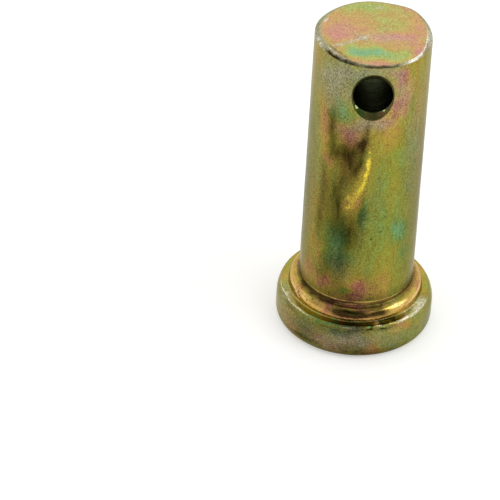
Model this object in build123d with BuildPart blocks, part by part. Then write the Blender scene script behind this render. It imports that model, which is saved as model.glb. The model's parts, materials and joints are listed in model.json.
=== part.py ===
from build123d import *
import math
import os

# A headed steel pin with a cross hole for a split pin, cold headed from drawn wire in one piece.
# It stands on its head. The origin is the centre of the head's outer face, +Z runs up the shank
# to the free end, and the cross hole runs along Y. Lengths are in millimetres, angles in degrees.

# Shank
shank_diameter = 9.47
shank_length = 25.0  # from the flat underside of the head to the middle of the free end

# Collar: the raised ring that heading leaves around the root of the shank
collar_width = 0.79
collar_height = 1.05
collar_round = 0.5
collar_root_round = 0.14

# Head: a squat barrel, rounded a little at its outer face and more towards the shank
head_thickness = 3.15  # outer face to the flat underside
underside_width = 0.575  # the flat ring around the collar
back_round_width = 0.375  # from the flat ring out to the rim
back_round = 1.9
face_round = 0.8

# Cross hole, opened at both mouths with a drill point
hole_diameter = 3.175
hole_to_end = 3.15  # centre of the hole to the middle of the free end
mouth_width = 0.6025  # from the bore out to the mouth's widest point
mouth_angle = 118

# Free end: cropped a little out of square, with its edge broken off centre,
# so the edge is thin on the low side and wide on the high side
low_side = -60  # direction of the low side, turned from +X
end_lean = 2.0  # of the end face, out of square towards the low side
edge_width = 0.38  # mean width of the broken edge, seen from the end
edge_offset = 0.26  # how far its middle lies from the pin's axis, towards the low side
edge_slope = 48  # fall of the broken edge, away from the end face
edge_crown = 2.2  # radius of its slight bulge

# Radii and heights that follow from those above
shank_radius = shank_diameter / 2
collar_radius = shank_radius + collar_width
underside_radius = collar_radius + underside_width
head_radius = underside_radius + back_round_width
collar_top = head_thickness + collar_height
end_height = head_thickness + shank_length
hole_height = end_height - hole_to_end

# The back round leaves the rim upright and stops early, where it reaches the flat ring.
back_round_rise = math.sqrt(back_round**2 - (back_round - back_round_width) ** 2)
back_round_start = head_thickness - back_round_rise
back_round_turn = math.degrees(math.asin(back_round_rise / back_round))

# The blank stands taller than the pin by enough for the leaning cut to leave nothing of its top.
lean = math.radians(end_lean)
blank_height = end_height + shank_diameter * math.tan(lean)

# The end is cut about a line that leans with the end face and stands off the pin's own axis.
low = Vector(math.cos(math.radians(low_side)), math.sin(math.radians(low_side)), 0)
cut_direction = low * math.sin(lean) + Vector(0, 0, math.cos(lean))
cut_origin = low * edge_offset + Vector(0, 0, end_height - edge_offset * math.tan(lean))
cut_side = low.cross(cut_direction)
cut_plane = Plane(origin=cut_origin, x_dir=cut_direction.cross(cut_side), z_dir=cut_side)
edge_start = shank_radius - edge_width
edge_end = shank_radius + 2 * edge_offset
edge_fall = (edge_end - edge_start) * math.tan(math.radians(edge_slope))
cut_height = blank_height - end_height + edge_offset

with BuildPart() as clevis_pin:
    # Head, collar and blank shank, turned about the pin's axis
    with BuildSketch(Plane.XZ):
        with BuildLine():
            Line((0, 0), (head_radius - face_round, 0))
            CenterArc((head_radius - face_round, face_round), face_round, -90, 90)
            Line((head_radius, face_round), (head_radius, back_round_start))
            CenterArc((head_radius - back_round, back_round_start), back_round, 0, back_round_turn)
            Line((underside_radius, head_thickness), (collar_radius, head_thickness))
            Line((collar_radius, head_thickness), (collar_radius, collar_top - collar_round))
            CenterArc((collar_radius - collar_round, collar_top - collar_round), collar_round, 0, 90)
            root = (shank_radius + collar_root_round, collar_top + collar_root_round)
            Line((collar_radius - collar_round, collar_top), (root[0], collar_top))
            CenterArc(root, collar_root_round, -90, -90)
            Polyline((shank_radius, root[1]), (shank_radius, blank_height), (0, blank_height), (0, 0))
        make_face()
    revolve(axis=Axis.Z)

    # Free end: the leaning face and its broken edge are one cut
    with BuildSketch(cut_plane):
        with BuildLine():
            edge_foot = (edge_end, -edge_fall)
            RadiusArc((edge_start, 0), edge_foot, edge_crown)
            Polyline(edge_foot, (edge_end, cut_height), (0, cut_height), (0, 0), (edge_start, 0))
        make_face()
    revolve(axis=Axis(cut_origin, cut_direction), mode=Mode.SUBTRACT)

    # Cross hole: one bore, with a drill point's cone at each mouth
    for side in (-1, 1):
        with Locations(Plane(origin=(0, side * shank_radius, hole_height), z_dir=(0, side, 0))):
            CounterSinkHole(
                radius=hole_diameter / 2,
                counter_sink_radius=hole_diameter / 2 + mouth_width,
                depth=shank_radius,
                counter_sink_angle=mouth_angle,
            )

clevis_pin.part.label = "clevis_pin"

os.makedirs("parts", exist_ok=True)
export_step(clevis_pin.part, "parts/clevis_pin.step")
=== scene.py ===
import json
import math
import bpy
import bmesh
from mathutils import Matrix, Vector, noise


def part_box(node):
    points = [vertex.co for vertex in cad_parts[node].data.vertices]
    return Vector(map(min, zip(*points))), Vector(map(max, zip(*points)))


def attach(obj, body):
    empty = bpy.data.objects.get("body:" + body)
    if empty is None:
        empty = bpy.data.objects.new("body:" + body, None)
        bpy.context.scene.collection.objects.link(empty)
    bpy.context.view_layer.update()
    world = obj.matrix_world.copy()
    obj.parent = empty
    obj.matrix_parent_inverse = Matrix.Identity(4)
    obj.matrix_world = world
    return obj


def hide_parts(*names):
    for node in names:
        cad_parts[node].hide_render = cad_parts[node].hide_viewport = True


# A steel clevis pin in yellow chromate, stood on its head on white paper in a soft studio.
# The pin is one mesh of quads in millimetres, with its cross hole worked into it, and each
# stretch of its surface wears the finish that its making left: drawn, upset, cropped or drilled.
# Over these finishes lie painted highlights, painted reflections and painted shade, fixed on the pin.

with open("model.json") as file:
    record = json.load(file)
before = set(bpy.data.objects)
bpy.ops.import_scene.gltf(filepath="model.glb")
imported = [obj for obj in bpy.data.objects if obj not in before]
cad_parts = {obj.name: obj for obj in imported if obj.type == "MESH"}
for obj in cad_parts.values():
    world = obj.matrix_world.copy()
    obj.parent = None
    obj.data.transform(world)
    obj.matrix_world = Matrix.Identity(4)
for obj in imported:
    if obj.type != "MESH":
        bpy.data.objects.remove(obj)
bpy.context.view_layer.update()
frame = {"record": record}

MM = 0.001

# Sizes that the frame gives
mounts = {mount["name"]: mount for mount in frame["record"]["mounts"]}
low_corner, high_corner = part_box("clevis_pin")
SHANK_RADIUS = mounts["shank"]["dims"]["r_mm"]
HOLE_RADIUS = mounts["cross_hole"]["dims"]["r_mm"]
HOLE_HEIGHT = mounts["cross_hole"]["pos_m"][2] / MM
HEAD_RADIUS = (high_corner.x - low_corner.x) / 2 / MM

# The head and collar, upset in a die
HEAD_THICKNESS = 3.15
FACE_ROUND = 0.8
BACK_ROUND = 1.9
BACK_ROUND_WIDTH = 0.375
UNDERSIDE_WIDTH = 0.575
UNDERSIDE_RADIUS = HEAD_RADIUS - BACK_ROUND_WIDTH
COLLAR_RADIUS = UNDERSIDE_RADIUS - UNDERSIDE_WIDTH
COLLAR_HEIGHT = 1.05
COLLAR_TOP = HEAD_THICKNESS + COLLAR_HEIGHT
COLLAR_ROUND = 0.65
COLLAR_DRAFT = 0.05  # how far its wall leans in from foot to round
ROOT_ROUND = 0.22
CROWN = 20  # how far the collar's top slopes away from the shank, in degrees
CORNER = 0.045  # how far tumbling breaks a crisp corner

# The cropped end: it leans, and its edge is broken off centre
END_HEIGHT = 28.15
END_LEAN = math.radians(2.0)
LOW_SIDE = math.radians(-60)
EDGE_WIDTH = 0.38
EDGE_OFFSET = 0.26
EDGE_SLOPE = math.radians(48)
EDGE_CROWN = 2.2
EDGE_WAVER = 0.02  # how far it strays in width all round

# Where the broken edge is wider or narrower: azimuth and spread in degrees, width gained in mm
EDGE_STRIKES = ((-10, 28, 0.20), (46, 24, -0.30), (-142, 20, 0.18), (172, 30, -0.15))

# Where the shear tore the broken edge and left it shallow: azimuth and spread, share of depth lost
TORN_AZIMUTH, TORN_SPREAD, TORN_SHARE = -141, 24, 0.65

# The cross hole's mouths, cut by a drill's point that starts short of the surface
MOUTH_HALF_ANGLE = math.radians(59)
MOUTH_WIDTH = 0.6025
CONE_TIP = SHANK_RADIUS - (HOLE_RADIUS + MOUTH_WIDTH) / math.tan(MOUTH_HALF_ANGLE)

# The mesh: columns round the pin, and a square patch of them for each mouth
COLUMNS = 120
PATCH = 20
PATCH_HALF = 2.6  # half the patch's height
SHANK_ROWS = 52
BORE_RINGS = 26

# Where the mesh's rings lie, as shares of the way: over the broken edge and in across the end face,
# from a patch's edge in to its mouth, and down the mouth's cone
EDGE_SHARES = (0.06, 0.22, 0.4, 0.58, 0.76, 0.94)
FACE_SHARES = (0.985, 0.93, 0.84, 0.72, 0.58, 0.43, 0.28, 0.13)
PATCH_SHARES = (0.2, 0.39, 0.56, 0.71, 0.83, 0.92, 0.97, 1)
CONE_SHARES = (0.08, 0.3, 0.6, 0.92)

# The finishes, in the order of the pin's material slots
DRAWN, COLLAR, HEAD, CROPPED, RUBBED, DRILLED, OPENED = range(7)


# Outline and end

def arc(centre, radius, start, turn, steps):
    """Points (r, z) along an arc of the outline. Angles are in degrees."""
    angles = [math.radians(start + turn * i / steps) for i in range(steps + 1)]
    return [(centre[0] + radius * math.cos(a), centre[1] + radius * math.sin(a)) for a in angles]


def between(low, high, count):
    """Evenly spaced values from low to high, without the two ends."""
    return [low + (high - low) * i / (count + 1) for i in range(1, count + 1)]


def head_outline():
    """Points (r, z) from the head's outer face over its rim and back round to the collar's foot."""
    rise = math.sqrt(BACK_ROUND**2 - (BACK_ROUND - BACK_ROUND_WIDTH) ** 2)
    back_start = HEAD_THICKNESS - rise
    back_turn = math.degrees(math.asin(rise / BACK_ROUND))
    face_edge = HEAD_RADIUS - FACE_ROUND
    points = [(face_edge * share, 0.0) for share in (0.25, 0.5, 0.75, 0.93)]
    points += arc((face_edge, FACE_ROUND), FACE_ROUND, -90, 90, 6)
    points += [(HEAD_RADIUS, z) for z in between(FACE_ROUND, back_start, 4)]
    points += arc((HEAD_RADIUS - BACK_ROUND, back_start), BACK_ROUND, 0, back_turn, 6)[:-1]
    points.append((UNDERSIDE_RADIUS + 0.6 * CORNER, HEAD_THICKNESS - 0.8 * CORNER))
    points += [(UNDERSIDE_RADIUS - CORNER * step, HEAD_THICKNESS) for step in (1, 3)]
    points += [(r, HEAD_THICKNESS) for r in between(UNDERSIDE_RADIUS, COLLAR_RADIUS, 2)]
    points += [(COLLAR_RADIUS + CORNER * step, HEAD_THICKNESS) for step in (3, 1)]
    return points


def collar_outline():
    """Points (r, z) up the collar, over its round and down into the shank's root."""
    wall_top = COLLAR_TOP - COLLAR_ROUND
    heights = [HEAD_THICKNESS + CORNER * step for step in (1, 3)]
    heights += between(heights[-1], wall_top, 2)
    lean = COLLAR_DRAFT / (wall_top - HEAD_THICKNESS)
    points = [(COLLAR_RADIUS - (z - HEAD_THICKNESS) * lean, z) for z in heights]
    round_r = COLLAR_RADIUS - COLLAR_DRAFT - COLLAR_ROUND
    points += arc((round_r, wall_top), COLLAR_ROUND, 0, 90 - CROWN, 7)
    r, z = points[-1]
    slope = math.radians(CROWN)
    root_r = SHANK_RADIUS + ROOT_ROUND * (1 - math.sin(slope))
    root_z = z + (r - root_r) * math.tan(slope)
    points.append(((r + root_r) / 2, (z + root_z) / 2))
    centre = (SHANK_RADIUS + ROOT_ROUND, root_z + ROOT_ROUND * math.cos(slope))
    return points + arc(centre, ROOT_ROUND, -90 - CROWN, CROWN - 90, 4)


def shank_outline():
    """Points (r, z) up the shank, from above the root to below the cross hole's patches."""
    foot = COLLAR_TOP + 2 * ROOT_ROUND
    heights = between(foot, HOLE_HEIGHT - PATCH_HALF, SHANK_ROWS)
    return [(SHANK_RADIUS, z) for z in [foot, *heights]]


low_way = Vector((math.cos(LOW_SIDE), math.sin(LOW_SIDE), 0))
cut_up = low_way * math.sin(END_LEAN) + Vector((0, 0, math.cos(END_LEAN)))
cut_middle = low_way * EDGE_OFFSET + Vector((0, 0, END_HEIGHT - EDGE_OFFSET * math.tan(END_LEAN)))
EDGE_START = SHANK_RADIUS - EDGE_WIDTH
EDGE_END = SHANK_RADIUS + 2 * EDGE_OFFSET


def nearness(angle, azimuth, spread):
    """1 at this azimuth, falling away on either side of it."""
    away = (math.degrees(angle) - azimuth + 180) % 360 - 180
    return math.exp(-((away / spread) ** 2) * 2)


def edge_gain(angle):
    """How much wider than cut the broken edge is at this angle, in mm."""
    gain = EDGE_WAVER * noise.noise(Vector((3 * math.cos(angle), 3 * math.sin(angle), 0.4)))
    for azimuth, spread, width in EDGE_STRIKES:
        gain += width * nearness(angle, azimuth, spread)
    return gain


def edge_fall(out):
    """How far the broken edge lies below the end face, at a distance out from the cut's line."""
    if out <= EDGE_START:
        return 0.0
    run = EDGE_END - EDGE_START
    drop = run * math.tan(EDGE_SLOPE)
    half_chord = math.hypot(run, drop) / 2
    sag = math.sqrt(EDGE_CROWN**2 - half_chord**2)
    centre_out = EDGE_START + run / 2 - sag * drop / (2 * half_chord)
    centre_up = -drop / 2 - sag * run / (2 * half_chord)
    return -(centre_up + math.sqrt(EDGE_CROWN**2 - (out - centre_out) ** 2))


def end_surface(radius, angle):
    """Height of the cropped end and its broken edge at this radius and angle."""
    point = Vector((radius * math.cos(angle), radius * math.sin(angle), END_HEIGHT))
    gain = edge_gain(angle)
    depth = 1 - TORN_SHARE * nearness(angle, TORN_AZIMUTH, TORN_SPREAD)
    for _ in range(6):
        reach = point - cut_middle
        up = reach.dot(cut_up)
        out = (reach - up * cut_up).length
        point.z -= (up + depth * edge_fall(out + gain)) / math.cos(END_LEAN)
    return point.z


def face_limit(angle):
    """Radius at which the end face gives way to its broken edge."""
    turn = angle - LOW_SIDE
    start = EDGE_START - edge_gain(angle)
    return EDGE_OFFSET * math.cos(turn) + math.sqrt(start**2 - (EDGE_OFFSET * math.sin(turn)) ** 2)


def end_column(angle):
    """Points (r, z) of one column, over the broken edge and in across the end face."""
    limit = face_limit(angle)
    width = SHANK_RADIUS - limit
    points = [(SHANK_RADIUS, end_surface(SHANK_RADIUS, angle) - 0.1 * width - 0.03)]
    radii = [SHANK_RADIUS - width * share for share in EDGE_SHARES]
    radii += [limit * share for share in FACE_SHARES]
    return points + [(radius, end_surface(radius, angle)) for radius in radii]


# The pin's mesh

def mouth_radius(turn):
    """Distance from the hole's axis to its mouth's edge on the shank, at this turn about the axis."""
    slope = 1 / math.tan(MOUTH_HALF_ANGLE)
    a = slope**2 + math.cos(turn) ** 2
    b = 2 * slope * CONE_TIP
    c = CONE_TIP**2 - SHANK_RADIUS**2
    return (-b + math.sqrt(b * b - 4 * a * c)) / (2 * a)


def column_angle(column):
    """A column's angle. The front patch starts at column 0 and is centred on -90 degrees."""
    return 2 * math.pi * (column - PATCH / 2) / COLUMNS - math.pi / 2


def close_loop(mesh, outer, inner, finish):
    for i in range(len(outer)):
        after = (i + 1) % len(outer)
        face = mesh.faces.new((outer[i], outer[after], inner[after], inner[i]))
        face.material_index = finish


def turned_ring(mesh, point_at):
    """One row of vertices round the pin. point_at gives (r, z) for a column's angle."""
    row = []
    for column in range(COLUMNS):
        angle = column_angle(column)
        r, z = point_at(angle)
        row.append(mesh.verts.new((r * math.cos(angle), r * math.sin(angle), z)))
    return row


def cap(mesh, row, z, finish):
    tip = mesh.verts.new((0, 0, z))
    for i in range(len(row)):
        mesh.faces.new((row[i], row[(i + 1) % len(row)], tip)).material_index = finish


def turn_pin():
    """The whole pin as one closed mesh."""
    mesh = bmesh.new()
    outline = [(point, HEAD) for point in head_outline()]
    outline += [(point, COLLAR) for point in collar_outline()]
    outline += [(point, DRAWN) for point in shank_outline()]
    rows = [turned_ring(mesh, lambda angle, p=point: p) for point, _ in outline]
    cap(mesh, rows[0], 0.0, HEAD)
    for i in range(len(rows) - 1):
        close_loop(mesh, rows[i], rows[i + 1], outline[i][1])

    # Beside the mouths the shank is whole, and between them its columns stay open
    heights = [HOLE_HEIGHT + PATCH_HALF * (2 * step / PATCH - 1) for step in range(PATCH + 1)]
    patch_rows = [turned_ring(mesh, lambda angle, z=z: (SHANK_RADIUS, z)) for z in heights]
    close_loop(mesh, rows[-1], patch_rows[0], DRAWN)
    half_way = COLUMNS // 2
    for lower, upper in zip(patch_rows, patch_rows[1:]):
        for column in [*range(PATCH, half_way), *range(half_way + PATCH, COLUMNS)]:
            after = (column + 1) % COLUMNS
            corners = (lower[column], lower[after], upper[after], upper[column])
            mesh.faces.new(corners).material_index = DRAWN

    steps = range(len(end_column(0)))
    end_rows = [turned_ring(mesh, lambda angle, i=i: end_column(angle)[i]) for i in steps]
    close_loop(mesh, patch_rows[-1], end_rows[0], DRAWN)
    for step, (lower, upper) in enumerate(zip(end_rows, end_rows[1:])):
        close_loop(mesh, lower, upper, RUBBED if step <= len(EDGE_SHARES) else CROPPED)
    cap(mesh, end_rows[-1], end_surface(0, 0), CROPPED)

    front = open_mouth(mesh, patch_rows, 0, -1)
    back = open_mouth(mesh, patch_rows, half_way, 1)
    bore_through(mesh, *front, back[0])
    bmesh.ops.delete(mesh, geom=[v for v in mesh.verts if not v.link_faces], context="VERTS")
    bmesh.ops.recalc_face_normals(mesh, faces=mesh.faces)
    return mesh


def patch_edge(rows, first, side):
    """The vertices round a patch, in order of their turn about the hole's axis."""
    columns = range(first, first + PATCH + 1)
    if side > 0:
        columns = columns[::-1]
    bottom = [rows[0][c] for c in columns]
    right = [row[columns[-1]] for row in rows]
    top = [rows[-1][c] for c in reversed(columns)]
    left = [row[columns[0]] for row in reversed(rows)]
    return bottom[:-1] + right[:-1] + top[:-1] + left[:-1]


def open_mouth(mesh, rows, first, side):
    """Fills a patch with rings that run in to the mouth and down its cone, and returns the last."""
    last = patch_edge(rows, first, side)
    turns = [math.atan2(v.co.z - HOLE_HEIGHT, v.co.x) for v in last]
    starts = [(math.asin(v.co.x / SHANK_RADIUS), v.co.z) for v in last]
    for share in PATCH_SHARES:
        loop = []
        for turn, (start_arc, start_height) in zip(turns, starts):
            rho = mouth_radius(turn) + CORNER
            mouth_arc = math.asin(rho * math.cos(turn) / SHANK_RADIUS)
            mouth_height = HOLE_HEIGHT + rho * math.sin(turn)
            across = start_arc + (mouth_arc - start_arc) * share
            z = start_height + (mouth_height - start_height) * share
            x, y = SHANK_RADIUS * math.sin(across), side * SHANK_RADIUS * math.cos(across)
            loop.append(mesh.verts.new((x, y, z)))
        close_loop(mesh, last, loop, DRAWN)
        last = loop
    for share in CONE_SHARES:
        loop = []
        for turn in turns:
            rho = mouth_radius(turn) * (1 - share) + HOLE_RADIUS * share
            depth = side * (CONE_TIP + rho / math.tan(MOUTH_HALF_ANGLE))
            height = HOLE_HEIGHT + rho * math.sin(turn)
            loop.append(mesh.verts.new((rho * math.cos(turn), depth, height)))
        close_loop(mesh, last, loop, OPENED)
        last = loop
    return last, turns


def bore_through(mesh, last, turns, end):
    """The bore's wall, ring by ring from the front mouth to the back one."""
    reach = CONE_TIP + HOLE_RADIUS / math.tan(MOUTH_HALF_ANGLE) - CORNER
    for depth in [-reach, *between(-reach, reach, BORE_RINGS), reach]:
        loop = []
        for turn in turns:
            height = HOLE_HEIGHT + HOLE_RADIUS * math.sin(turn)
            loop.append(mesh.verts.new((HOLE_RADIUS * math.cos(turn), depth, height)))
        close_loop(mesh, last, loop, DRILLED)
        last = loop
    close_loop(mesh, last, end, DRILLED)


# Knocks and unevenness, sunk into the finished surface

def at(azimuth, height, radius=SHANK_RADIUS):
    """A place on the pin by its azimuth in degrees, its height and its radius in mm."""
    turn = math.radians(azimuth)
    return Vector((radius * math.cos(turn), radius * math.sin(turn), height))


# Each knock's middle, its reach and its depth in mm
KNOCKS = (
    (at(-153.5, 3.72, 5.50), 0.20, 0.09),
    (at(-150.5, 3.55, 5.53), 0.17, 0.07),
    (at(-139.5, 3.68, 5.53), 0.16, 0.05),
    (at(-138.0, 4.08, 5.36), 0.22, 0.05),
    (at(-79.5, 3.08, 6.15), 0.22, 0.05),
    (at(-74.0, 3.00, 6.20), 0.25, 0.06),
    (at(-68.5, 3.07, 6.15), 0.20, 0.05),
    (at(-63.0, 3.12, 6.12), 0.18, 0.04),
    (at(-57.5, 3.05, 6.17), 0.20, 0.05),
    (at(-43.0, 3.03, 6.18), 0.24, 0.05),
    (at(-163.5, 28.05, 4.12), 0.26, 0.06),
    (at(-157.5, 27.95, 4.64), 0.24, 0.05),
    (at(-143.5, 28.05, 4.05), 0.16, 0.06),
    (at(-138.0, 28.00, 4.64), 0.30, 0.07),
    (at(-68.0, 13.07, 4.74), 0.13, 0.03),
    (at(-81.0, 10.99, 4.74), 0.10, 0.03),
)

# Each score's two ends, its reach and its depth in mm: the shear's tears along the broken edge
SCORES = (
    (at(-151, 28.14, 4.10), at(-141, 28.12, 4.02), 0.10, 0.06),
    (at(-141, 28.12, 4.02), at(-131, 28.10, 4.04), 0.12, 0.08),
    (at(-131, 28.10, 4.04), at(-118, 28.02, 4.34), 0.10, 0.06),
    (at(-147, 28.02, 4.58), at(-133, 27.98, 4.62), 0.16, 0.08),
    (at(-133, 27.98, 4.62), at(-116, 27.88, 4.66), 0.12, 0.06),
)

# Unevenness that upsetting and plating leave everywhere: how often it comes per mm, and its depth in mm
UNEVENNESS = ((0.45, 0.010), (1.7, 0.004))
SEAT_HEIGHT = 0.03  # the head's outer face stays flat up to here, in mm


def near_line(place, start, end):
    """Distance from a place to the line between two others."""
    run = end - start
    share = min(1.0, max(0.0, (place - start).dot(run) / run.length_squared))
    return (place - start - share * run).length


def settle(mesh):
    """Sinks the knocks and a slight unevenness into a mesh, along its normals. The seat stays flat."""
    mesh.normal_update()
    moves = []
    for vertex in mesh.verts:
        place = vertex.co
        sink = sum(depth * (1 + noise.noise(place * pace)) for pace, depth in UNEVENNESS)
        marks = [((place - middle).length / reach, depth) for middle, reach, depth in KNOCKS]
        marks += [(near_line(place, *ends) / reach, depth) for *ends, reach, depth in SCORES]
        sink += sum(depth * (1 - away * away) ** 2 for away, depth in marks if away < 1)
        moves.append(vertex.normal * -sink if place.z > SEAT_HEIGHT else Vector())
    for vertex, move in zip(mesh.verts, moves):
        vertex.co += move


def subdivided(mesh, levels):
    """A finer bmesh of a control mesh, by Subdivision Surface."""
    data = bpy.data.meshes.new("control")
    mesh.to_mesh(data)
    mesh.free()
    cage = bpy.data.objects.new("control", data)
    bpy.context.scene.collection.objects.link(cage)
    rounding = cage.modifiers.new("rounding", "SUBSURF")
    rounding.levels = rounding.render_levels = levels
    smooth = cage.evaluated_get(bpy.context.evaluated_depsgraph_get()).to_mesh()
    finer = bmesh.new()
    finer.from_mesh(smooth)
    bpy.data.objects.remove(cage)
    return finer


# Nodes

def linear(hex_colour):
    """An sRGB hex value as a linear colour."""
    levels = [int(hex_colour[i:i + 2], 16) / 255 for i in (1, 3, 5)]
    return (*[v / 12.92 if v <= 0.04045 else ((v + 0.055) / 1.055) ** 2.4 for v in levels], 1.0)


def add(tree, kind, feeds=None, **settings):
    """Adds a node with its settings. feeds gives inputs, by name or place, a value or a socket."""
    made = tree.nodes.new(kind)
    for name, value in settings.items():
        setattr(made, name, value)
    for place, value in (feeds or {}).items():
        if isinstance(value, bpy.types.NodeSocket):
            tree.links.new(value, made.inputs[place])
        else:
            made.inputs[place].default_value = value
    return made


def worked_out(tree, operation, *values):
    """The result of a sum, product or the like on values or sockets."""
    return add(tree, "ShaderNodeMath", dict(enumerate(values)), operation=operation).outputs[0]


# Tumbling nicks

def nick_tree(materials):
    """Geometry Nodes that sink small round nicks, of many sizes, at random places of a mesh."""
    tree = bpy.data.node_groups.new("tumbling_nicks", "GeometryNodeTree")
    tree.interface.new_socket("Pin", in_out="INPUT", socket_type="NodeSocketGeometry")
    sizes = ("Nicks per square metre", "Smallest nick", "Widest nick", "Depth to width", "Seat height")
    for name in sizes:
        tree.interface.new_socket(name, in_out="INPUT", socket_type="NodeSocketFloat")
    tree.interface.new_socket("Seed", in_out="INPUT", socket_type="NodeSocketInt")
    tree.interface.new_socket("Pin", in_out="OUTPUT", socket_type="NodeSocketGeometry")
    given = add(tree, "NodeGroupInput").outputs
    scatter = add(tree, "GeometryNodeDistributePointsOnFaces", {
        "Mesh": given["Pin"],
        "Density": given["Nicks per square metre"],
        "Seed": given["Seed"],
    }).outputs["Points"]
    here = add(tree, "GeometryNodeInputPosition").outputs[0]
    nearest = add(tree, "GeometryNodeSampleNearest", {
        "Geometry": scatter, "Sample Position": here,
    }).outputs[0]
    middle = add(tree, "GeometryNodeSampleIndex", {
        "Geometry": scatter, "Value": here, "Index": nearest,
    }, data_type="FLOAT_VECTOR").outputs[0]
    size = add(tree, "FunctionNodeRandomValue", {
        2: given["Smallest nick"], 3: given["Widest nick"], "Seed": given["Seed"],
    }, data_type="FLOAT").outputs[1]
    reach = add(tree, "GeometryNodeSampleIndex", {
        "Geometry": scatter, "Value": size, "Index": nearest,
    }, data_type="FLOAT").outputs[0]
    away = add(tree, "ShaderNodeVectorMath", {0: here, 1: middle}, operation="DISTANCE").outputs["Value"]
    share = worked_out(tree, "DIVIDE", away, reach)
    bowl = worked_out(tree, "SUBTRACT", 1.0, worked_out(tree, "MULTIPLY", share, share))
    bowl = worked_out(tree, "POWER", worked_out(tree, "MAXIMUM", bowl, 0.0), 2.0)
    depth = worked_out(tree, "MULTIPLY", reach, given["Depth to width"])
    sink = worked_out(tree, "MULTIPLY", worked_out(tree, "MULTIPLY", bowl, depth), -1.0)
    normal = add(tree, "GeometryNodeInputNormal").outputs[0]
    offset = add(tree, "ShaderNodeVectorMath", {0: normal, "Scale": sink}, operation="SCALE").outputs[0]
    height = add(tree, "ShaderNodeSeparateXYZ", {0: here}).outputs["Z"]
    off_the_seat = add(tree, "FunctionNodeCompare", {
        0: height, 1: given["Seat height"],
    }, data_type="FLOAT", operation="GREATER_THAN").outputs[0]
    worn = add(tree, "GeometryNodeSetPosition", {
        "Geometry": given["Pin"], "Selection": off_the_seat, "Offset": offset,
    }).outputs[0]
    solid = add(tree, "GeometryNodeRealizeInstances", {0: worn}).outputs[0]
    finish = add(tree, "GeometryNodeInputMaterialIndex").outputs[0]
    for slot, material in enumerate(materials):
        same = add(tree, "FunctionNodeCompare", {
            2: finish, 3: slot,
        }, data_type="INT", operation="EQUAL").outputs[0]
        solid = add(tree, "GeometryNodeSetMaterial", {
            "Geometry": solid, "Selection": same, "Material": material,
        }).outputs[0]
    add(tree, "NodeGroupOutput", {0: solid})
    return tree


def tumbled(mesh, name, materials, nicks):
    """The finished pin: a mesh in mm, brought to its real size and nicked by Geometry Nodes."""
    bmesh.ops.scale(mesh, vec=(MM, MM, MM), verts=mesh.verts)
    for face in mesh.faces:
        face.smooth = True
    data = bpy.data.meshes.new("turned")
    mesh.to_mesh(data)
    mesh.free()
    for material in materials:
        data.materials.append(material)
    blank = bpy.data.objects.new("turned", data)
    bpy.context.scene.collection.objects.link(blank)
    tree = nick_tree(materials)
    tumbling = blank.modifiers.new("tumbling", "NODES")
    tumbling.node_group = tree
    for item in tree.interface.items_tree:
        if item.in_out == "INPUT" and item.name in nicks:
            tumbling[item.identifier] = nicks[item.name]
    worn = blank.evaluated_get(bpy.context.evaluated_depsgraph_get())
    finished = bpy.data.meshes.new_from_object(worn)
    bpy.data.objects.remove(blank)
    piece = bpy.data.objects.new(name, finished)
    bpy.context.scene.collection.objects.link(piece)
    return piece


# Yellow chromate on bright zinc
# The film's colour goes by its thickness: rose and orange where thin, then gold, olive, green and teal

FILM_COLOURS = (
    (0.00, "#a66458"),
    (0.16, "#a87550"),
    (0.30, "#ac8648"),
    (0.45, "#9c8a38"),
    (0.60, "#888a36"),
    (0.80, "#708842"),
    (1.00, "#6c9460"),
)
GOLD_COLOURS = (
    (0.00, "#b2705a"),
    (0.30, "#cca058"),
    (0.60, "#c2ac4c"),
    (1.00, "#7c8a40"),
)
# Paler than the side's film: partly the end's own film, partly painted light for its upward face.
END_COLOURS = (
    (0.00, "#c0887e"),
    (0.18, "#c29078"),
    (0.34, "#bf9a66"),
    (0.48, "#b4a060"),
    (0.62, "#aaad60"),
    (0.78, "#98ad6a"),
    (1.00, "#7aaa80"),
)
ZINC_COLOURS = (
    (0.00, "#94785a"),
    (0.35, "#9a9068"),
    (0.65, "#a09e7e"),
    (1.00, "#848e60"),
)
MOUTH_COLOURS = (
    (0.00, "#5a4428"),
    (0.50, "#464624"),
    (1.00, "#2c401c"),
)
BORE_COLOURS = (
    (0.00, "#34301a"),
    (1.00, "#1c3620"),
)

# Widths of the film's patterns in mm. The speckle stands for the zinc's crystals, which are far finer
# on a pin: it is drawn as coarse as it needs to show.
CLOUD_WIDTH = 4.0
BLOTCH_WIDTH = 1.4
MOTTLE_WIDTH = 0.45
SPECKLE_WIDTH = 0.13

DARKEST = 0.08  # share of its light that the darkest stain or painted shade still gives back
RELIEF_DEPTH = 0.012 * MM


def on_side(azimuth, height, radius=SHANK_RADIUS, lean=0):
    """A patch's middle, turn and depth on the pin's side: its width runs round and its height up."""
    return at(azimuth, height, radius), (0, math.radians(lean), math.radians(azimuth + 90)), 3.0


def all_round(height):
    """The middle, turn and depth of a patch that runs round the pin as a band."""
    return Vector((0, 0, height)), (0, 0, 0), 100.0


def on_edge(azimuth, radius, breadth):
    """A patch's middle, turn and depth along the broken edge. breadth is its reach across the edge."""
    return at(azimuth, END_HEIGHT - 0.1, radius), (0, 0, math.radians(azimuth + 90)), breadth


def on_end(x, y, turn=0):
    """A patch's middle, turn and depth on the cropped end. x and y are shares of the radius."""
    middle = Vector((x * SHANK_RADIUS, y * SHANK_RADIUS, END_HEIGHT))
    return middle, (math.radians(90), 0, math.radians(turn)), 3.0


def patch(tree, coordinates, place, width, height):
    """1 in the middle of a soft oval patch and 0 outside it. Width and height are its half axes in mm."""
    middle, turn, depth = place
    local = add(tree, "ShaderNodeMapping", {
        "Vector": coordinates, "Location": middle, "Rotation": turn, "Scale": (width, depth, height),
    }, vector_type="TEXTURE").outputs[0]
    near = add(tree, "ShaderNodeTexGradient", {0: local}, gradient_type="SPHERICAL").outputs[1]
    return add(tree, "ShaderNodeMapRange", {0: near}, interpolation_type="SMOOTHSTEP").outputs[0]


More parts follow.
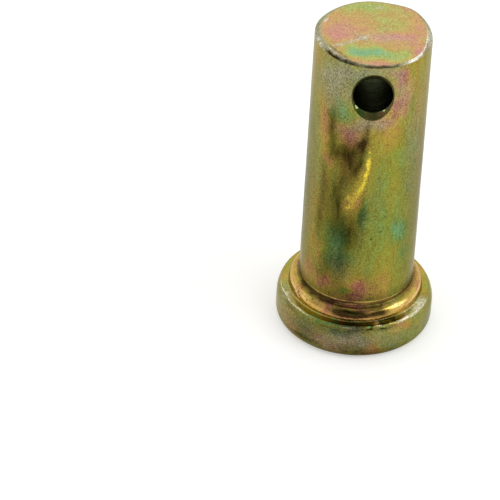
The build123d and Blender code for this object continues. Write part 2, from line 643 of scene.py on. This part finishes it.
def strayed(tree, place, size, reach, detail):
    """Coordinates bent by up to about reach mm, over lumps of size mm, so that nothing has a drawn edge."""
    drift = add(tree, "ShaderNodeTexNoise", {"Vector": place, "Scale": 1 / size, "Detail": detail})
    bent = add(tree, "ShaderNodeVectorMath", {
        0: drift.outputs["Color"], 1: (2 * reach,) * 3, 2: place,
    }, operation="MULTIPLY_ADD").outputs[0]
    return add(tree, "ShaderNodeVectorMath", {0: bent, 1: (reach,) * 3}, operation="SUBTRACT").outputs[0]


def lumps(tree, coordinates, size, detail=2.0):
    """Noise about 0, from about -0.5 to 0.5, whose lumps are size mm across."""
    grey = add(tree, "ShaderNodeTexNoise", {"Vector": coordinates, "Scale": 1 / size, "Detail": detail})
    return worked_out(tree, "SUBTRACT", grey.outputs[0], 0.5)


def summed(tree, start, *terms):
    """start plus each (field, share) of terms."""
    total = start
    for field, share in terms:
        total = worked_out(tree, "MULTIPLY_ADD", field, share, total)
    return total


def laid_over(tree, share, under, over):
    """Two colours mixed by a field."""
    mix = add(tree, "ShaderNodeMix", {0: share, 6: under, 7: over}, data_type="RGBA", clamp_factor=True)
    return mix.outputs[2]


def plated(
    name, colours, film, roughness, lay=(1, 1, 1), mark_width=0.16, mark_share=0.3, grain=1.0,
    blotchy=1.0, run=(1, 1, 1), stray=1.1, broken=1.0, dull_and_sheen_colour="#938c74", highlight_and_pale_colour="#e6cc46", **worn
):
    """A metal under a chromate film.

    film is its usual thickness on the scale of colours, blotchy how far that wanders, and run how its
    clouds are drawn out along the axes. The tool marks are mark_width mm wide, lay draws them out
    along the axes, and mark_share is how much they show. grain is how much the speckle shows.
    worn holds the places that differ, each as (place, width, height, amount): pools change the film's
    thickness, dulled ones turn it to the dull colour and bright ones to the highlight colour, where
    broken is how much the grain breaks them up. shaded ones darken softly and lined ones crisply, and
    with an amount below 0 both lighten. stray is how far, in mm, the edges of the pools and dulled
    places wander.

    Many of these places are painted light. Most bright ones are painted highlights and painted
    reflections, and on the cropped end some are pale marks in the film. The dulled ones are greyed film
    and, on the shank's outlines and the head's front, a painted sheen as well. The shaded and lined ones
    are partly stains, tears and scratches and partly painted shade and painted reflections. They are
    fixed on the pin, so they stay where they are when true reflections and shade would move.
    """
    material = bpy.data.materials.new(name)
    material.use_nodes = True
    tree = material.node_tree
    tree.nodes.clear()
    metres = add(tree, "ShaderNodeTexCoord").outputs["Object"]
    place = add(tree, "ShaderNodeVectorMath", {0: metres, 1: (1 / MM,) * 3}, operation="MULTIPLY").outputs[0]
    ragged = strayed(tree, place, 1.5, stray, 3.0)
    wavering = strayed(tree, place, 1.1, 0.35, 2.0)
    steady = strayed(tree, place, 0.7, 0.09, 2.0)

    def field(kind, coordinates):
        total = 0.0
        for spot in worn.get(kind, ()):
            total = summed(tree, total, (patch(tree, coordinates, *spot[:3]), spot[3]))
        return total

    drawn_out = add(tree, "ShaderNodeVectorMath", {
        0: place, 1: tuple(1 / length for length in run),
    }, operation="MULTIPLY").outputs[0]
    clouds = lumps(tree, drawn_out, CLOUD_WIDTH)
    blotches = lumps(tree, drawn_out, BLOTCH_WIDTH, 3.0)
    mottle = lumps(tree, drawn_out, MOTTLE_WIDTH, 3.0)
    speckle = lumps(tree, place, SPECKLE_WIDTH, 2.0)
    lengthened = add(tree, "ShaderNodeVectorMath", {
        0: wavering, 1: tuple(1 / length for length in lay),
    }, operation="MULTIPLY").outputs[0]
    marks = lumps(tree, lengthened, mark_width, 3.0)

    thickness = summed(tree, film, (clouds, 0.55 * blotchy), (blotches, 0.55 * blotchy), (mottle, 0.25))
    thickness = summed(tree, thickness, (speckle, 0.30 * grain), (field("pools", ragged), 1.0))
    ramp = add(tree, "ShaderNodeValToRGB", {0: thickness})
    stops = ramp.color_ramp.elements
    while len(stops) < len(colours):
        stops.new(0.5)
    for stop, (position, colour) in zip(stops, colours):
        stop.position = position
        stop.color = linear(colour)
    colour = ramp.outputs["Color"]

    # The dulled places: greyed film, and partly a painted sheen.
    dull = summed(tree, field("dulled", ragged), (blotches, 0.5), (speckle, 0.5))
    colour = laid_over(tree, dull, colour, linear(dull_and_sheen_colour))
    broken_share = summed(tree, 1.0, (marks, 1.5 * broken), (speckle, 1.6 * broken))
    # Painted highlights, with pale marks in the film on the cropped end.
    highlight_and_pale_share = worked_out(tree, "MULTIPLY", field("bright", steady), broken_share)
    colour = laid_over(tree, highlight_and_pale_share, colour, linear(highlight_and_pale_colour))
    mottled = summed(tree, 1.0, (mottle, 0.7), (marks, 0.6), (speckle, 0.4))
    # Darkening: stains, tears and scratches, and painted shade and painted reflections.
    shade = worked_out(tree, "MULTIPLY", field("shaded", wavering), mottled)
    shade = summed(tree, shade, (field("lined", steady), 1.0))
    rougher = summed(tree, 1.1 * grain, (shade, 1.6 * grain), (dull, 0.8 * grain))
    speck = worked_out(tree, "MULTIPLY", speckle, rougher)
    level = summed(tree, 1.0, (marks, mark_share), (speck, 1.0), (mottle, 0.3 * grain))
    lit = summed(tree, 1.0, (shade, -0.9))
    level = worked_out(tree, "MULTIPLY", level, worked_out(tree, "MAXIMUM", lit, DARKEST))
    colour = add(tree, "ShaderNodeVectorMath", {0: colour, "Scale": level}, operation="SCALE").outputs[0]

    rough = summed(tree, roughness, (dull, 0.1), (blotches, 0.08), (highlight_and_pale_share, -0.06))
    relief = summed(tree, 0.5, (speckle, 0.8), (marks, mark_share), (mottle, 0.4))
    bump = add(tree, "ShaderNodeBump", {"Height": relief, "Strength": 0.5, "Distance": RELIEF_DEPTH})
    shader = add(tree, "ShaderNodeBsdfPrincipled", {
        "Base Color": colour, "Metallic": 1.0, "Roughness": rough, "Normal": bump.outputs[0],
        "Specular Tint": linear("#e4e2d4"),
    })
    add(tree, "ShaderNodeOutputMaterial", {"Surface": shader.outputs[0]})
    return material


def drawn_finish():
    """Drawn wire under the film: a fine lay along the pin, and clouds where the film pools and thins."""
    pools = (
        (on_side(-62, 26.8), 1.3, 1.6, -0.60),
        (on_side(-60, 24.2), 1.3, 1.8, -0.50),
        (on_side(-52, 25.4), 1.0, 1.2, -0.20),
        (on_side(-80, 22.6), 2.4, 1.2, -0.30),
        (on_side(-72, 21.4), 1.6, 1.9, -0.10),
        (on_side(-50, 23.6), 0.9, 1.8, 0.16),
        (on_side(-103, 27.0), 2.0, 1.0, 0.22),
        (on_side(-110, 21.4), 2.5, 1.7, -0.42),
        (on_side(-140, 22.0), 1.0, 3.6, -0.24),
        (on_side(-119, 23.4), 1.3, 1.7, 0.42),
        (on_side(-131, 18.3), 0.9, 1.1, -0.30),
        (on_side(-136, 14.5), 1.0, 5.0, -0.08),
        (on_side(-96, 20.3), 1.6, 1.0, -0.18),
        (on_side(-106, 18.4), 1.9, 3.0, -0.08),
        (on_side(-104, 14.5), 1.2, 1.7, -0.22),
        (on_side(-52, 18.9), 2.2, 3.4, 0.14),
        (on_side(-38, 18.0), 1.2, 6.0, 0.18),
        (on_side(-47, 11.3, lean=-22), 1.3, 1.9, 0.40),
        (on_side(-44, 8.7), 1.1, 1.4, 0.24),
        (on_side(-66, 11.5), 2.2, 4.4, 0.13),
        (on_side(-72, 16.5), 1.8, 3.2, 0.05),
        (on_side(-115, 9.9), 2.1, 4.2, 0.44),
        (on_side(-91, 13.6), 0.8, 2.2, 0.34),
        (on_side(-91, 6.2), 0.8, 1.4, -0.26),
        (on_side(-104, 5.7), 1.1, 0.9, 0.40),
        (on_side(-127, 6.0), 1.1, 1.5, -0.36),
        (on_side(-143, 6.3), 1.7, 1.6, -0.26),
        (on_side(-135, 8.6), 0.9, 2.2, -0.20),
        (on_side(-95, 5.0), 1.9, 0.6, -0.28),
        (on_side(-82, 5.8), 3.2, 2.4, -0.24),
        (on_side(20, 8.5), 1.6, 3.0, -0.30),
        (on_side(58, 21.5), 1.8, 3.6, -0.42),
        (on_side(84, 13.5), 1.5, 3.4, 0.36),
        (on_side(104, 7.5), 2.2, 2.6, -0.34),
        (on_side(132, 17.5), 1.7, 4.0, -0.36),
        (on_side(158, 10.0), 1.6, 3.0, 0.34),
    )
    # Greyed film; the two long ones down the left and right outlines are a painted sheen.
    dulled = (
        (on_side(-165, 16.0), 3.0, 17.0, 0.34),
        (on_side(-130, 25.8), 3.4, 4.2, 0.80),
        (on_side(-96, 27.4), 4.2, 1.4, 0.60),
        (on_side(-88, 22.4), 3.0, 1.4, 0.66),
        (on_side(-64, 25.6), 1.8, 4.2, 0.50),
        (on_side(-112, 21.6), 2.6, 1.8, 0.26),
        (on_side(-18, 15.0), 2.8, 15.0, 0.20),
        (on_side(-36, 20.0), 1.7, 9.0, 0.42),
        (on_side(-113, 7.8), 1.8, 2.0, 0.40),
    )
    # Soft darkening, mostly painted: the broad shade over the front, the dark streaks left of the yellow
    # streak (painted reflection, partly stains in the film), the bands down the left and right outlines,
    # round the root and at the foot are painted shade. The three small spots at the end are dark marks, two
    # of them at knocks. The one below 0 lightens.
    shaded = (
        (on_side(-104, 12.0), 4.6, 16.0, 0.26),
        (on_side(-112, 21.4), 3.2, 2.8, 0.26),
        (on_side(-133, 22.6), 1.6, 3.6, 0.24),
        (on_side(-96.0, 20.9), 0.55, 1.7, 0.36),
        (on_side(-118, 19.2), 1.80, 2.0, 0.36),
        (on_side(-102, 10.2), 1.50, 4.0, 0.20),
        (on_side(-128, 8.0), 1.20, 3.2, 0.26),
        (on_side(-129.5, 21.0), 0.74, 3.6, 0.46),
        (on_side(-128.0, 18.8), 0.95, 1.5, 0.26),
        (on_side(-135.5, 16.0, lean=-3), 0.66, 3.4, 0.38),
        (on_side(-138.0, 12.0), 0.80, 4.0, 0.44),
        (on_side(-125.0, 14.5), 1.3, 7.0, 0.22),
        (all_round(4.4), 100.0, 1.5, 0.40),
        (on_side(-107, 19.2, lean=14), 1.80, 2.3, 0.45),
        (on_side(-96.5, 20.3, lean=25), 0.80, 1.8, 0.42),
        (on_side(-93, 21.9), 0.34, 1.0, 0.50),
        (on_side(-108, 17.4, lean=4), 1.10, 2.6, 0.44),
        (on_side(-98, 18.2, lean=8), 0.55, 2.4, 0.52),
        (on_side(-117, 15.2), 0.86, 3.6, 0.22),
        (on_side(-116, 12.6), 1.00, 3.2, 0.18),
        (on_side(-114, 10.3), 1.60, 3.4, 0.26),
        (on_side(-112, 8.1), 1.30, 2.2, 0.34),
        (on_side(-92, 13.6), 0.55, 2.4, 0.40),
        (on_side(-100, 12.0), 1.60, 3.0, 0.28),
        (on_side(-116, 14.0), 3.0, 8.0, 0.24),
        (on_side(-104, 5.8), 1.7, 1.3, 0.18),
        (on_side(-100, 6.2), 1.3, 1.0, -0.28),
        (on_side(-94, 5.4), 4.8, 3.2, 0.34),
        (on_side(-130, 6.6), 3.2, 3.0, 0.30),
        (on_side(-150, 12.0), 4.0, 12.0, 0.14),
        (on_side(-105, 26.0), 3.5, 2.5, 0.16),
        (on_side(-30, 12.0), 3.2, 18.0, 0.26),
        (on_side(-176, 15.0), 3.4, 18.0, 0.34),
        (on_side(-6, 15.0), 2.9, 18.0, 0.42),
        (on_side(-68, 13.07), 0.16, 0.16, 0.7),
        (on_side(-81, 10.99), 0.16, 0.18, 0.8),
        (on_side(-72.5, 11.74), 0.13, 0.16, 0.6),
    )
    # Painted highlight: the yellow streak down the shank's front, a painted reflection and partly a bright
    # streak in the film.
    bright = (
        (on_side(-89.2, 19.7), 0.20, 0.26, 1.0),
        (on_side(-89.8, 18.6, lean=2), 0.26, 1.0, 1.2),
        (on_side(-91.2, 17.5, lean=8), 0.28, 1.1, 1.1),
        (on_side(-93.8, 16.4, lean=20), 0.30, 1.0, 0.9),
        (on_side(-97.0, 15.6, lean=24), 0.40, 1.0, 0.5),
        (on_side(-99.0, 16.6, lean=14), 0.80, 1.8, 0.26),
        (on_side(-104, 14.5, lean=16), 0.75, 1.8, 0.40),
        (on_side(-107, 15.1), 0.28, 0.5, 0.45),
        (on_side(-106, 14.1), 0.26, 0.5, 0.40),
    )
    return plated(
        "yellow_chromate_drawn", FILM_COLOURS, 0.52, 0.27, blotchy=0.85, grain=1.35,
        pools=pools, dulled=dulled, shaded=shaded, bright=bright, lay=(1, 1, 8), mark_share=0.75,
        run=(1, 1, 3.5),
    )


def collar_finish():
    """The collar, burnished by the die: a smoother and more golden film."""
    pools = (
        (on_side(-165, 3.5, 5.5), 2.6, 0.6, -0.20),
        (on_side(-118, 3.9, 5.3), 0.9, 0.8, -0.30),
        (on_side(-102, 4.2, 5.0), 2.4, 0.5, -0.24),
        (on_side(-90, 3.4, 5.5), 3.6, 0.4, -0.22),
        (on_side(-96, 3.82, 5.4), 2.2, 0.3, 0.50),
        (on_side(-84, 4.2, 5.0), 1.5, 0.4, -0.22),
        (on_side(-45, 4.2, 5.1), 3.2, 0.5, 0.36),
        (on_side(-40, 3.6, 5.5), 1.6, 0.4, -0.24),
        (on_side(-15, 3.8, 5.4), 2.2, 0.5, -0.25),
        (on_side(-155, 4.2, 5.1), 3.2, 0.5, 0.30),
    )
    # Painted shade and painted reflection of the dim front, over the collar's front and left.
    shaded = (
        (on_side(-68, 4.05, 5.2), 1.4, 0.45, 0.45),
        (on_side(-112, 3.95, 5.3), 2.2, 0.70, 0.36),
        (on_side(-130, 4.15, 5.15), 1.9, 0.55, 0.60),
        (on_side(-150, 4.15, 5.2), 1.6, 0.50, 0.40),
        (on_side(-101, 3.34, 5.5), 2.6, 0.30, 0.42),
    )
    # Painted shade and painted reflection: the dark lines round the root and crown, the dark band across the
    # front of the collar's round and its dark foot. The small ones at the left and in the highlight are
    # scratches, and the one below 0 lightens.
    lined = (
        (all_round(4.46), 100.0, 0.28, 0.86),
        (all_round(4.25), 100.0, 0.20, 0.58),
        (on_side(-96, 4.25, 4.90), 1.2, 0.25, -0.45),
        (on_side(-100, 4.60, 4.80), 1.6, 0.26, 0.50),
        (on_side(-106, 3.84, 5.42), 1.5, 0.50, 0.95),
        (on_side(-90, 3.77, 5.42), 2.0, 0.48, 1.50),
        (on_side(-96, 3.58, 5.47), 2.4, 0.22, 0.60),
        (on_side(-80, 4.10, 5.25), 1.6, 0.20, 0.45),
        (on_side(-69, 3.74, 5.42), 1.4, 0.50, 1.00),
        (on_side(-90, 3.17, 5.50), 5.0, 0.20, 0.85),
        (on_side(-153.5, 3.74, 5.50, lean=30), 0.10, 0.34, 0.9),
        (on_side(-151.0, 3.60, 5.53, lean=-20), 0.09, 0.24, 0.8),
        (on_side(-139.5, 3.72, 5.53), 0.13, 0.13, 0.9),
        (on_side(-134.0, 4.02, 5.36), 0.10, 0.10, 0.7),
        (on_side(-50, 4.00, 5.30, lean=20), 0.10, 0.10, 0.6),
        (on_side(-47, 3.93, 5.35, lean=20), 0.14, 0.10, 0.5),
    )
    # Painted highlights on the collar's round and at its foot.
    bright = (
        (on_side(-52, 4.00, 5.30), 1.0, 0.24, 0.7),
        (on_side(-46, 3.90, 5.36), 1.0, 0.22, 0.45),
        (on_side(-165, 3.6, 5.50), 2.4, 0.5, 0.70),
        (on_side(-20, 3.6, 5.50), 2.6, 0.5, 0.80),
        (on_side(-147, 3.92, 5.35), 0.9, 0.20, 0.4),
        (on_side(-143, 3.75, 5.45), 0.6, 0.20, 0.5),
    )
    return plated(
        "yellow_chromate_burnished", GOLD_COLOURS, 0.34, 0.14, highlight_and_pale_colour="#ecd488",
        pools=pools, shaded=shaded, lined=lined, bright=bright, mark_share=0.05, grain=0.8, blotchy=0.8,
        broken=0.5,
    )


def head_finish():
    """The head, upset in a die: no lay, and a satin film with tan and green clouds."""
    pools = (
        (on_side(-80, 0.8, 6.4), 1.8, 0.9, -0.30),
        (on_side(-88, 1.6, 6.4), 1.8, 0.8, -0.16),
        (on_side(-60, 1.4, 6.4), 2.6, 1.4, 0.20),
        (on_side(-150, 1.6, 6.4), 2.5, 1.2, -0.10),
        (on_side(-118, 1.3, 6.4), 3.0, 0.9, -0.22),
        (on_side(-102, 2.5, 6.4), 2.4, 0.6, 0.36),
        (on_side(-130, 0.9, 6.4), 2.2, 0.7, 0.20),
        (on_side(-52, 2.6, 6.4), 1.5, 0.8, -0.25),
        (on_side(-92, 3.17, 5.8), 5.0, 0.22, 0.60),
    )
    # Greyed film, and on the rim's front partly a painted reflection that greys it.
    dulled = (
        (on_side(-160, 2.0, 6.4), 3.6, 3.4, 0.50),
        (on_side(-110, 1.7, 6.4), 6.0, 1.8, 0.60),
        (on_side(-88, 2.1, 6.4), 2.6, 1.4, 0.50),
        (on_side(-62, 1.7, 6.4), 2.6, 1.8, 0.40),
        (on_side(-30, 1.6, 6.4), 3.0, 3.0, 0.30),
    )
    # Painted shade and painted reflections on the rim: its front darker, darker towards the floor, and dark
    # waves below the back round's corner. The one below 0 lightens.
    shaded = (
        (on_side(-118, 1.9, 6.4), 8.0, 4.0, 0.46),
        (on_side(-103, 2.55, 6.4), 2.4, 0.5, 0.28),
        (on_side(-98, 1.9, 6.4), 2.0, 0.7, -0.20),
        (on_side(-132, 1.7, 6.4), 2.2, 1.4, 0.26),
        (on_side(-85, 0.3, 6.4), 6.5, 1.5, 0.34),
        (on_side(-60, 1.6, 6.4), 4.0, 2.4, 0.18),
        (on_side(-88, 1.7, 6.4), 3.0, 2.4, 0.24),
        (on_side(-66, 0.5, 6.4), 3.4, 0.9, 0.24),
        (on_side(-15, 1.6, 6.4), 2.6, 3.0, 0.30),
        (all_round(0.2), 100.0, 1.2, 0.22),
        (on_side(-150, 2.75, 6.4), 1.4, 0.30, 0.45),
        (on_side(-132, 2.62, 6.4), 2.0, 0.30, 0.12),
        (on_side(-112, 2.72, 6.35), 2.2, 0.30, 0.15),
        (on_side(-88, 2.82, 6.3), 2.0, 0.28, 0.40),
        (on_side(-68, 2.85, 6.3), 1.8, 0.28, 0.45),
        (on_side(-133, 0.9, 6.4), 3.0, 0.4, 0.36),
    )
    # Painted shade in the ring under the collar and at the head's corner; the two smallest are dark pits.
    lined = (
        (on_side(-92, 3.17, 5.7), 2.4, 0.16, 0.20),
        (on_side(-80, 3.08, 6.15), 0.7, 0.12, 0.50),
        (on_side(-68, 3.17, 5.7), 3.2, 0.16, 0.80),
        (on_side(-62, 3.17, 5.7), 1.8, 0.16, 0.50),
        (on_side(-80, 2.90, 6.25), 0.5, 0.10, 0.8),
        (on_side(-70, 2.88, 6.25), 0.4, 0.09, 0.7),
    )
    # Painted highlights along the corner of the head's back round.
    bright = (
        (on_side(-168, 3.06, 6.15), 2.8, 0.07, 0.7),
        (on_side(-140, 3.06, 6.15), 2.2, 0.07, 0.7),
        (on_side(-99, 3.02, 6.18), 0.7, 0.07, 0.7),
        (on_side(-95, 2.98, 6.20), 0.6, 0.14, 0.32),
        (on_side(-73, 3.10, 6.08), 0.4, 0.13, 0.9),
        (on_side(-50, 3.02, 6.18), 1.3, 0.17, 0.75),
        (on_side(-30, 3.02, 6.18), 2.4, 0.20, 0.8),
    )
    return plated(
        "yellow_chromate_upset", FILM_COLOURS, 0.50, 0.22, highlight_and_pale_colour="#e6dec6",
        pools=pools, dulled=dulled, shaded=shaded, lined=lined, bright=bright,
        lay=(6, 6, 1), mark_share=0.55, grain=1.2, broken=0.5,
    )


# The tear that the shear left along the front left of the broken edge, darkened partly as painted shade,
# and the pale crest beside it, partly bare and partly a painted highlight
TEAR_AND_SHADE = (
    (on_edge(-149, 4.10, 0.09), 0.40, 1.0, 0.70),
    (on_edge(-142, 4.04, 0.11), 0.50, 1.0, 0.90),
    (on_edge(-133, 4.04, 0.12), 0.50, 1.0, 0.85),
    (on_edge(-125, 4.17, 0.10), 0.50, 1.0, 0.70),
    (on_edge(-142, 4.58, 0.20), 0.75, 1.0, 0.68),
    (on_edge(-133, 4.64, 0.16), 0.70, 1.0, 0.74),
)
PALE_CREST_AND_HIGHLIGHT = (
    (on_edge(-145, 4.34, 0.10), 0.50, 1.0, 0.5),
    (on_edge(-135, 4.38, 0.10), 0.60, 1.0, 0.6),
    (on_edge(-123, 4.46, 0.09), 0.65, 1.0, 0.8),
)


def cropped_finish():
    """The cropped end: a torn grain that holds the film unevenly, matt, and paler, partly as painted light
    on its top.
    """
    pools = (
        (on_end(-0.5, 0.05, 10), 3.2, 2.4, -0.28),
        (on_end(-0.72, -0.08), 1.2, 1.2, -0.12),
        (on_end(0.35, -0.12, 6), 3.0, 1.0, -0.34),
        (on_end(0.75, 0.0), 1.8, 3.0, -0.14),
        (on_end(-0.07, -0.60, -4), 2.3, 1.3, 0.54),
        (on_end(0.45, -0.62), 1.9, 1.0, 0.28),
        (on_end(-0.35, -0.55, -35), 1.8, 0.9, 0.22),
        (on_end(-0.1, 0.72), 3.4, 1.6, 0.26),
        (on_end(0.4, 0.35), 2.2, 1.8, 0.16),
        (on_end(-0.28, 0.90), 0.6, 0.4, -0.7),
        (on_end(0.6, 0.75, -40), 1.6, 0.6, -0.36),
        (on_end(0.0, -0.93), 3.2, 0.7, -0.30),
        (on_end(0.72, -0.52, 60), 1.0, 0.5, -0.45),
    )
    dulled = (
        (on_end(-0.60, -0.415, 15), 1.1, 0.38, 0.7),
        (on_end(-0.38, -0.305, 36), 1.0, 0.38, 0.6),
        (on_end(-0.19, -0.20, 6), 0.8, 0.48, 0.75),
        (on_end(0.12, 0.70), 0.5, 0.4, 0.7),
        (on_end(0.1, -0.15), 4.0, 1.2, 0.25),
        (on_end(-0.93, 0.05, 90), 2.4, 0.5, 0.40),
    )
    # The first is a painted glint at the end's left; the rest are pale marks along the film's line.
    bright = (
        (on_end(-0.80, 0.28, 65), 0.6, 0.20, 0.7),
        (on_end(-0.58, -0.41, 15), 0.9, 0.20, 0.14),
        (on_end(-0.37, -0.30, 36), 0.7, 0.22, 0.14),
        (on_end(-0.19, -0.20, 6), 0.6, 0.30, 0.28),
    )
    return plated(
        "yellow_chromate_cropped", END_COLOURS, 0.44, 0.40, highlight_and_pale_colour="#dcdcd0",
        pools=pools, dulled=dulled, lined=TEAR_AND_SHADE, bright=bright, lay=(1, 6, 1), mark_share=0.2,
        grain=1.0, stray=0.5, dull_and_sheen_colour="#bab69c",
    )


def rubbed_finish():
    """The broken edge: greyed film, rubbed pale at its crest with a painted highlight, and brown where the
    shear tore it.
    """
    # Painted shade: darker along the front and left of the broken edge, and a little darker lower down all
    # round.
    shaded = (
        (all_round(27.6), 100.0, 0.5, 0.12),
        (on_side(-178, 28.0, 4.5), 3.6, 1.2, 0.10),
        (on_side(-137, 27.94, 4.70), 1.0, 0.22, 0.60),
        (on_side(-122, 27.84, 4.68), 1.6, 0.24, 0.85),
        (on_side(-105, 27.86, 4.68), 1.6, 0.24, 0.70),
        (on_side(-85, 27.86, 4.68), 2.4, 0.24, 0.65),
        (on_side(-70, 27.90, 4.68), 1.6, 0.22, 0.50),
    )
    pools = (
        (on_side(-135, 27.9, 4.6), 1.6, 0.6, -0.6),
        (on_side(-150, 28.0, 4.5), 1.0, 0.5, 0.4),
        (on_side(150, 28.0, 4.5), 3.0, 0.8, 0.4),
        (on_side(-15, 28.0, 4.6), 2.0, 0.8, -0.2),
    )
    # Painted highlights: the pale band on the right front, glints on the left, and the pale crest.
    bright = (
        (on_side(-50, 27.93, 4.66), 0.9, 0.16, 1.3),
        (on_side(-41, 27.98, 4.62), 1.0, 0.16, 1.3),
        (on_side(-28, 28.05, 4.52), 1.1, 0.14, 0.7),
        (on_side(-13, 28.08, 4.40), 1.2, 0.14, 0.4),
        (on_side(-166, 28.05, 4.45), 0.40, 0.14, 0.6),
        (on_side(-2, 27.9, 4.65), 2.6, 0.7, 0.5),
        (on_side(-172, 27.9, 4.60), 1.8, 0.5, 0.3),
        *PALE_CREST_AND_HIGHLIGHT,
        (on_side(-157, 27.95, 4.62), 0.35, 0.20, 0.35),
    )
    return plated(
        "zinc_rubbed_bare", ZINC_COLOURS, 0.42, 0.24, highlight_and_pale_colour="#e2e0d0",
        pools=pools, shaded=shaded, lined=TEAR_AND_SHADE, bright=bright, mark_share=0.1,
    )


def drilled_finish():
    """The drilled bore: dull and dark colours, with rings at the drill's feed."""
    return plated(
        "zinc_in_drilled_bore", BORE_COLOURS, 0.5, 0.36, lay=(6, 1, 6), mark_width=0.32, mark_share=2.4,
    )


def opened_finish():
    """The hole's mouths, cut by the drill's point after the wire's drawing: dull olive."""
    pools = ((on_side(-105, 23.4), 1.2, 1.0, 0.6), (on_side(-78, 23.4), 1.0, 0.9, -0.45))
    # Painted glints at the sides of the mouth's lower lip.
    bright = ((on_side(-105.5, 24.0, 4.6), 0.18, 0.34, 2.6), (on_side(-78.8, 23.68, 4.44), 0.19, 0.17, 3.4))
    return plated(
        "zinc_in_opened_mouth", MOUTH_COLOURS, 0.5, 0.30, highlight_and_pale_colour="#c8d48a",
        pools=pools, bright=bright, mark_share=0.4,
    )


control = turn_pin()
surface = subdivided(control, 1)
settle(surface)
pin = tumbled(
    surface, "plated_pin",
    [
        drawn_finish(), collar_finish(), head_finish(), cropped_finish(), rubbed_finish(),
        drilled_finish(), opened_finish(),
    ],
    {
        "Nicks per square metre": 2.4e5,
        "Smallest nick": 0.10 * MM,
        "Widest nick": 0.42 * MM,
        "Depth to width": 0.035,
        "Seat height": 0.05 * MM,
        "Seed": 7,
    },
)
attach(pin, "root")
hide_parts("clevis_pin")


# Studio

FLOOR_RADIUS = 2.0  # metres
PAPER_LIFT = 0.38  # light added where a ray sees the paper, which brings it to white
SOFTBOX_REACH = 0.5  # metres from the pin


def ray_share(tree):
    """1 for camera, glossy and transmission rays, and 0 for the rest."""
    path = add(tree, "ShaderNodeLightPath").outputs
    seen = worked_out(tree, "MAXIMUM", path["Is Camera Ray"], path["Is Glossy Ray"])
    return worked_out(tree, "MAXIMUM", seen, path["Is Transmission Ray"])


def paper_floor():
    """White paper. Camera, glossy and transmission rays see it lifted to white, and it keeps its shadow."""
    disc = bmesh.new()
    bmesh.ops.create_circle(disc, cap_ends=True, segments=96, radius=FLOOR_RADIUS)
    data = bpy.data.meshes.new("paper_floor")
    disc.to_mesh(data)
    disc.free()
    floor = bpy.data.objects.new("paper_floor", data)
    bpy.context.scene.collection.objects.link(floor)
    paper = bpy.data.materials.new("white_paper")
    paper.use_nodes = True
    tree = paper.node_tree
    tree.nodes.clear()
    matt = add(tree, "ShaderNodeBsdfDiffuse", {"Color": linear("#e4e4e2")})
    strength = worked_out(tree, "MULTIPLY", ray_share(tree), PAPER_LIFT)
    lift = add(tree, "ShaderNodeEmission", {"Color": (1, 1, 1, 1), "Strength": strength})
    both = add(tree, "ShaderNodeAddShader", {0: matt.outputs[0], 1: lift.outputs[0]})
    add(tree, "ShaderNodeOutputMaterial", {"Surface": both.outputs[0]})
    data.materials.append(paper)


def studio_world():
    """A white room whose front, above the camera's stand, is dim where metal mirrors it."""
    world = bpy.data.worlds.new("studio")
    bpy.context.scene.world = world
    world.use_nodes = True
    tree = world.node_tree
    tree.nodes.clear()
    way = add(tree, "ShaderNodeTexCoord").outputs["Generated"]
    local = add(tree, "ShaderNodeMapping", {
        "Vector": way, "Location": (-0.065, -0.60, 0.78), "Scale": (0.5, 1.0, 1.0),
    }, vector_type="TEXTURE").outputs[0]
    away = add(tree, "ShaderNodeVectorMath", {0: local}, operation="LENGTH").outputs["Value"]
    dim = add(tree, "ShaderNodeMapRange", {
        "Value": away, "From Min": 1.0, "From Max": 0.15, "To Min": 1.0, "To Max": 0.20,
    }, interpolation_type="SMOOTHSTEP").outputs[0]
    path = add(tree, "ShaderNodeLightPath").outputs
    mirrored = worked_out(tree, "MAXIMUM", path["Is Glossy Ray"], path["Is Transmission Ray"])
    lit = add(tree, "ShaderNodeMix", {0: mirrored, 2: 0.80, 3: dim}, data_type="FLOAT").outputs[0]
    strength = add(tree, "ShaderNodeMix", {
        0: path["Is Camera Ray"], 2: lit, 3: 1.0,
    }, data_type="FLOAT").outputs[0]
    white = add(tree, "ShaderNodeBackground", {"Color": (1, 1, 1, 1), "Strength": strength})
    add(tree, "ShaderNodeOutputWorld", {"Surface": white.outputs[0]})


def softbox(name, azimuth, elevation, width, height, radiance):
    """A soft lamp that faces the pin. Metal mirrors it at this radiance."""
    lamp = bpy.data.lights.new(name, "AREA")
    lamp.shape = "RECTANGLE"
    lamp.size = width
    lamp.size_y = height
    lamp.energy = radiance * math.pi * width * height
    holder = bpy.data.objects.new(name, lamp)
    bpy.context.scene.collection.objects.link(holder)
    a, e = math.radians(azimuth), math.radians(elevation)
    way = Vector((math.cos(a) * math.cos(e), math.sin(a) * math.cos(e), math.sin(e)))
    holder.location = way * SOFTBOX_REACH
    holder.rotation_euler = way.to_track_quat("Z", "Y").to_euler()
    holder.visible_camera = False


paper_floor()
studio_world()
softbox("softbox_right", -12, 36, 0.30, 0.34, 0.9)
softbox("softbox_left", 175, 36, 0.30, 0.34, 0.4)
softbox("softbox_back", 90, 40, 0.45, 0.34, 0.30)
softbox("softbox_front_right", -36, 45, 0.30, 0.16, 1.6)

# Camera: a long lens, rolled a little
aim = Vector((-8.727, 3.117, 3.677)) * MM
stand = Vector((-20.70, -296.03, 228.82)) * MM
ROLL = math.radians(3.308)
camera_data = bpy.data.cameras.new("camera")
camera_data.sensor_width = 36
camera_data.lens = 324.0
camera_data.clip_start = 0.01
camera_data.clip_end = 5
camera = bpy.data.objects.new("camera", camera_data)
bpy.context.scene.collection.objects.link(camera)
unrolled = (aim - stand).to_track_quat("-Z", "Y").to_matrix()
camera.location = stand
camera.rotation_euler = (unrolled @ Matrix.Rotation(ROLL, 3, "Z")).to_euler()
bpy.context.scene.camera = camera

bpy.context.scene.view_settings.view_transform = "Standard"
